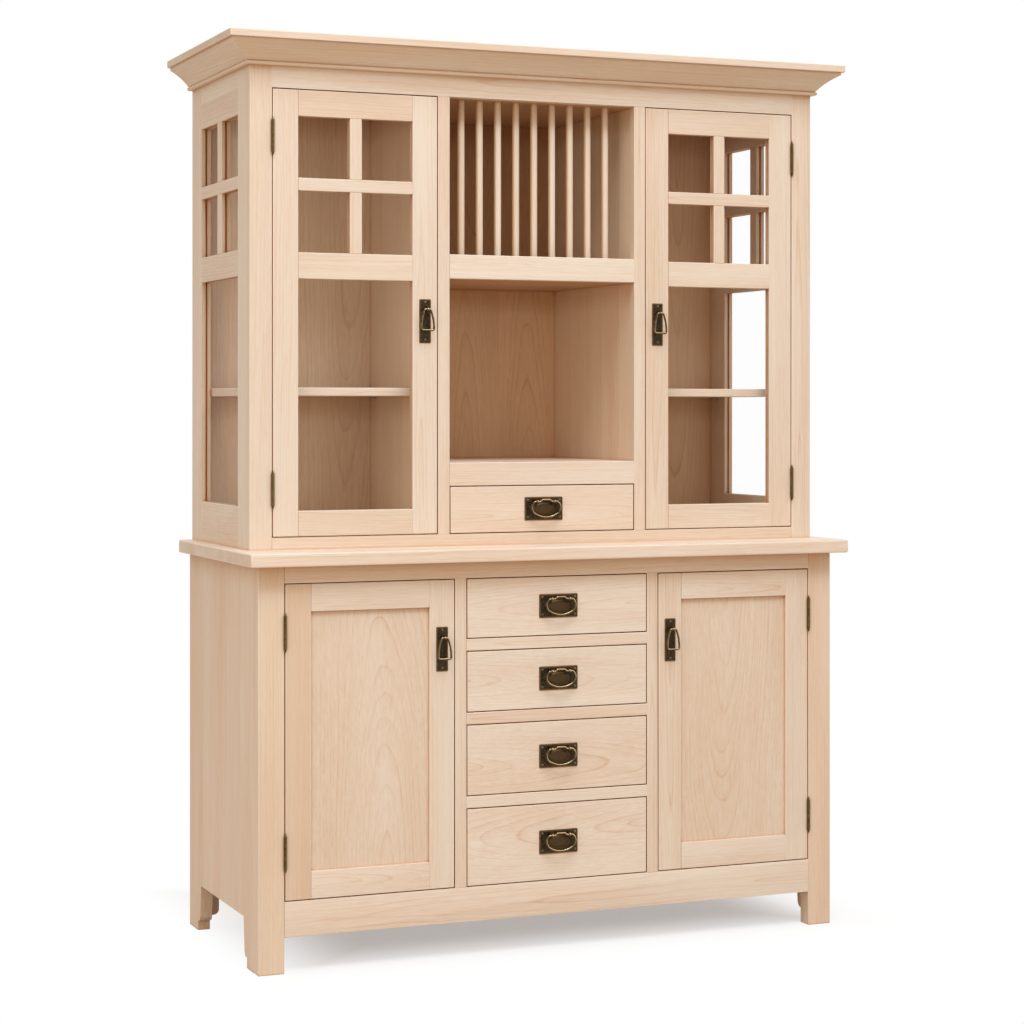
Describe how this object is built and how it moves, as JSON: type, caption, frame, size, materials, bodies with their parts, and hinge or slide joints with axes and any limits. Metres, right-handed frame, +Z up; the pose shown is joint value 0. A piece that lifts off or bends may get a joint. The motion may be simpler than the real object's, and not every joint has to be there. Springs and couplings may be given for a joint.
{
  "type": "buffet and hutch",
  "caption": "Wooden buffet with panelled doors and a bank of drawers, carrying a glazed hutch with a plate rack, an open cubby, a small drawer and a cove crown.",
  "frame": {"origin": "on the floor, at the middle of the piece's overall width and depth", "axes": "+X to the right as seen from the front, +Y to the back, +Z up"},
  "size_m": [1.48, 0.5774, 1.982],
  "materials": {
    "maple": "clear satin on pale close-grained wood",
    "back_ply": "clear satin on veneered board",
    "drawer_wood": "clear matt on pale wood",
    "clear_glass": "clear, polished",
    "dark_bronze": "antiqued, hammered",
    "ring_brass": "antiqued, rubbed bright",
    "hinge_brass": "antiqued, satin",
    "steel": "plated"
  },
  "bodies": {
    "cabinet": {"buffet_front_legs": "maple", "buffet_side_panels": "maple", "buffet_face_frame": "maple", "cabinet_partitions": "maple", "buffet_bottom": "maple", "buffet_rear_skirt": "maple", "back_panels": "back_ply", "drawer_runners": "maple", "counter_top": "maple", "hutch_side_frames": "maple", "hutch_side_glass": "clear_glass", "hutch_face_frame": "maple", "hutch_decks": "maple", "plate_rack_dowels": "maple", "hutch_shelves": "maple", "shelf_pins": "steel", "crown_moulding": "maple", "crown_top_board": "maple", "case_hinges": "hinge_brass"},
    "hutch_drawer": {"hutch_drawer_front": "maple", "hutch_drawer_box": "drawer_wood", "hutch_drawer_pull_plate": "dark_bronze"},
    "hutch_drawer_bail": {"hutch_drawer_bail": "ring_brass"},
    "drawer_1": {"drawer_1_front": "maple", "drawer_1_box": "drawer_wood", "drawer_1_pull_plate": "dark_bronze"},
    "drawer_1_bail": {"drawer_1_bail": "ring_brass"},
    "drawer_2": {"drawer_2_front": "maple", "drawer_2_box": "drawer_wood", "drawer_2_pull_plate": "dark_bronze"},
    "drawer_2_bail": {"drawer_2_bail": "ring_brass"},
    "drawer_3": {"drawer_3_front": "maple", "drawer_3_box": "drawer_wood", "drawer_3_pull_plate": "dark_bronze"},
    "drawer_3_bail": {"drawer_3_bail": "ring_brass"},
    "drawer_4": {"drawer_4_front": "maple", "drawer_4_box": "drawer_wood", "drawer_4_pull_plate": "dark_bronze"},
    "drawer_4_bail": {"drawer_4_bail": "ring_brass"},
    "upper_left_door": {"upper_left_door_frame": "maple", "upper_left_door_glass": "clear_glass", "upper_left_door_hinge_leaves": "hinge_brass", "upper_left_door_pull_plate": "dark_bronze"},
    "upper_left_door_ring": {"upper_left_door_ring": "ring_brass"},
    "lower_left_door": {"lower_left_door_frame": "maple", "lower_left_door_panel": "maple", "lower_left_door_hinge_leaves": "hinge_brass", "lower_left_door_pull_plate": "dark_bronze"},
    "lower_left_door_ring": {"lower_left_door_ring": "ring_brass"},
    "upper_right_door": {"upper_right_door_frame": "maple", "upper_right_door_glass": "clear_glass", "upper_right_door_hinge_leaves": "hinge_brass", "upper_right_door_pull_plate": "dark_bronze"},
    "upper_right_door_ring": {"upper_right_door_ring": "ring_brass"},
    "lower_right_door": {"lower_right_door_frame": "maple", "lower_right_door_panel": "maple", "lower_right_door_hinge_leaves": "hinge_brass", "lower_right_door_pull_plate": "dark_bronze"},
    "lower_right_door_ring": {"lower_right_door_ring": "ring_brass"}
  },
  "joints": [
    {"name": "hutch_drawer_slide", "type": "slide", "parent": "cabinet", "child": "hutch_drawer", "axis": [0, -1, 0], "range_m": [0, 0.28]},
    {"name": "hutch_drawer_bail_swing", "type": "hinge", "parent": "hutch_drawer", "child": "hutch_drawer_bail", "pos_m": [0, -0.18585, 0.97875], "axis": [-1, 0, 0], "range_deg": [0, 90]},
    {"name": "drawer_1_slide", "type": "slide", "parent": "cabinet", "child": "drawer_1", "axis": [0, -1, 0], "range_m": [0, 0.36]},
    {"name": "drawer_1_bail_swing", "type": "hinge", "parent": "drawer_1", "child": "drawer_1_bail", "pos_m": [0, -0.26635, 0.76875], "axis": [-1, 0, 0], "range_deg": [0, 90]},
    {"name": "drawer_2_slide", "type": "slide", "parent": "cabinet", "child": "drawer_2", "axis": [0, -1, 0], "range_m": [0, 0.36]},
    {"name": "drawer_2_bail_swing", "type": "hinge", "parent": "drawer_2", "child": "drawer_2_bail", "pos_m": [0, -0.26635, 0.61025], "axis": [-1, 0, 0], "range_deg": [0, 90]},
    {"name": "drawer_3_slide", "type": "slide", "parent": "cabinet", "child": "drawer_3", "axis": [0, -1, 0], "range_m": [0, 0.36]},
    {"name": "drawer_3_bail_swing", "type": "hinge", "parent": "drawer_3", "child": "drawer_3_bail", "pos_m": [0, -0.26635, 0.44], "axis": [-1, 0, 0], "range_deg": [0, 90]},
    {"name": "drawer_4_slide", "type": "slide", "parent": "cabinet", "child": "drawer_4", "axis": [0, -1, 0], "range_m": [0, 0.36]},
    {"name": "drawer_4_bail_swing", "type": "hinge", "parent": "drawer_4", "child": "drawer_4_bail", "pos_m": [0, -0.26635, 0.2515], "axis": [-1, 0, 0], "range_deg": [0, 90]},
    {"name": "upper_left_door_hinge", "type": "hinge", "parent": "cabinet", "child": "upper_left_door", "pos_m": [-0.63, -0.17455, 1.39], "axis": [0, 0, -1], "range_deg": [0, 110]},
    {"name": "upper_left_door_ring_swing", "type": "hinge", "parent": "upper_left_door", "child": "upper_left_door_ring", "pos_m": [-0.2825, -0.18775, 1.4015], "axis": [-1, 0, 0], "range_deg": [0, 150]},
    {"name": "lower_left_door_hinge", "type": "hinge", "parent": "cabinet", "child": "lower_left_door", "pos_m": [-0.6275, -0.25505, 0.485], "axis": [0, 0, -1], "range_deg": [0, 110]},
    {"name": "lower_left_door_ring_swing", "type": "hinge", "parent": "lower_left_door", "child": "lower_left_door_ring", "pos_m": [-0.274, -0.26825, 0.693], "axis": [-1, 0, 0], "range_deg": [0, 150]},
    {"name": "upper_right_door_hinge", "type": "hinge", "parent": "cabinet", "child": "upper_right_door", "pos_m": [0.63, -0.17455, 1.39], "axis": [0, 0, 1], "range_deg": [0, 110]},
    {"name": "upper_right_door_ring_swing", "type": "hinge", "parent": "upper_right_door", "child": "upper_right_door_ring", "pos_m": [0.2825, -0.18775, 1.4015], "axis": [-1, 0, 0], "range_deg": [0, 150]},
    {"name": "lower_right_door_hinge", "type": "hinge", "parent": "cabinet", "child": "lower_right_door", "pos_m": [0.6275, -0.25505, 0.485], "axis": [0, 0, 1], "range_deg": [0, 110]},
    {"name": "lower_right_door_ring_swing", "type": "hinge", "parent": "lower_right_door", "child": "lower_right_door_ring", "pos_m": [0.274, -0.26825, 0.693], "axis": [-1, 0, 0], "range_deg": [0, 150]}
  ]
}
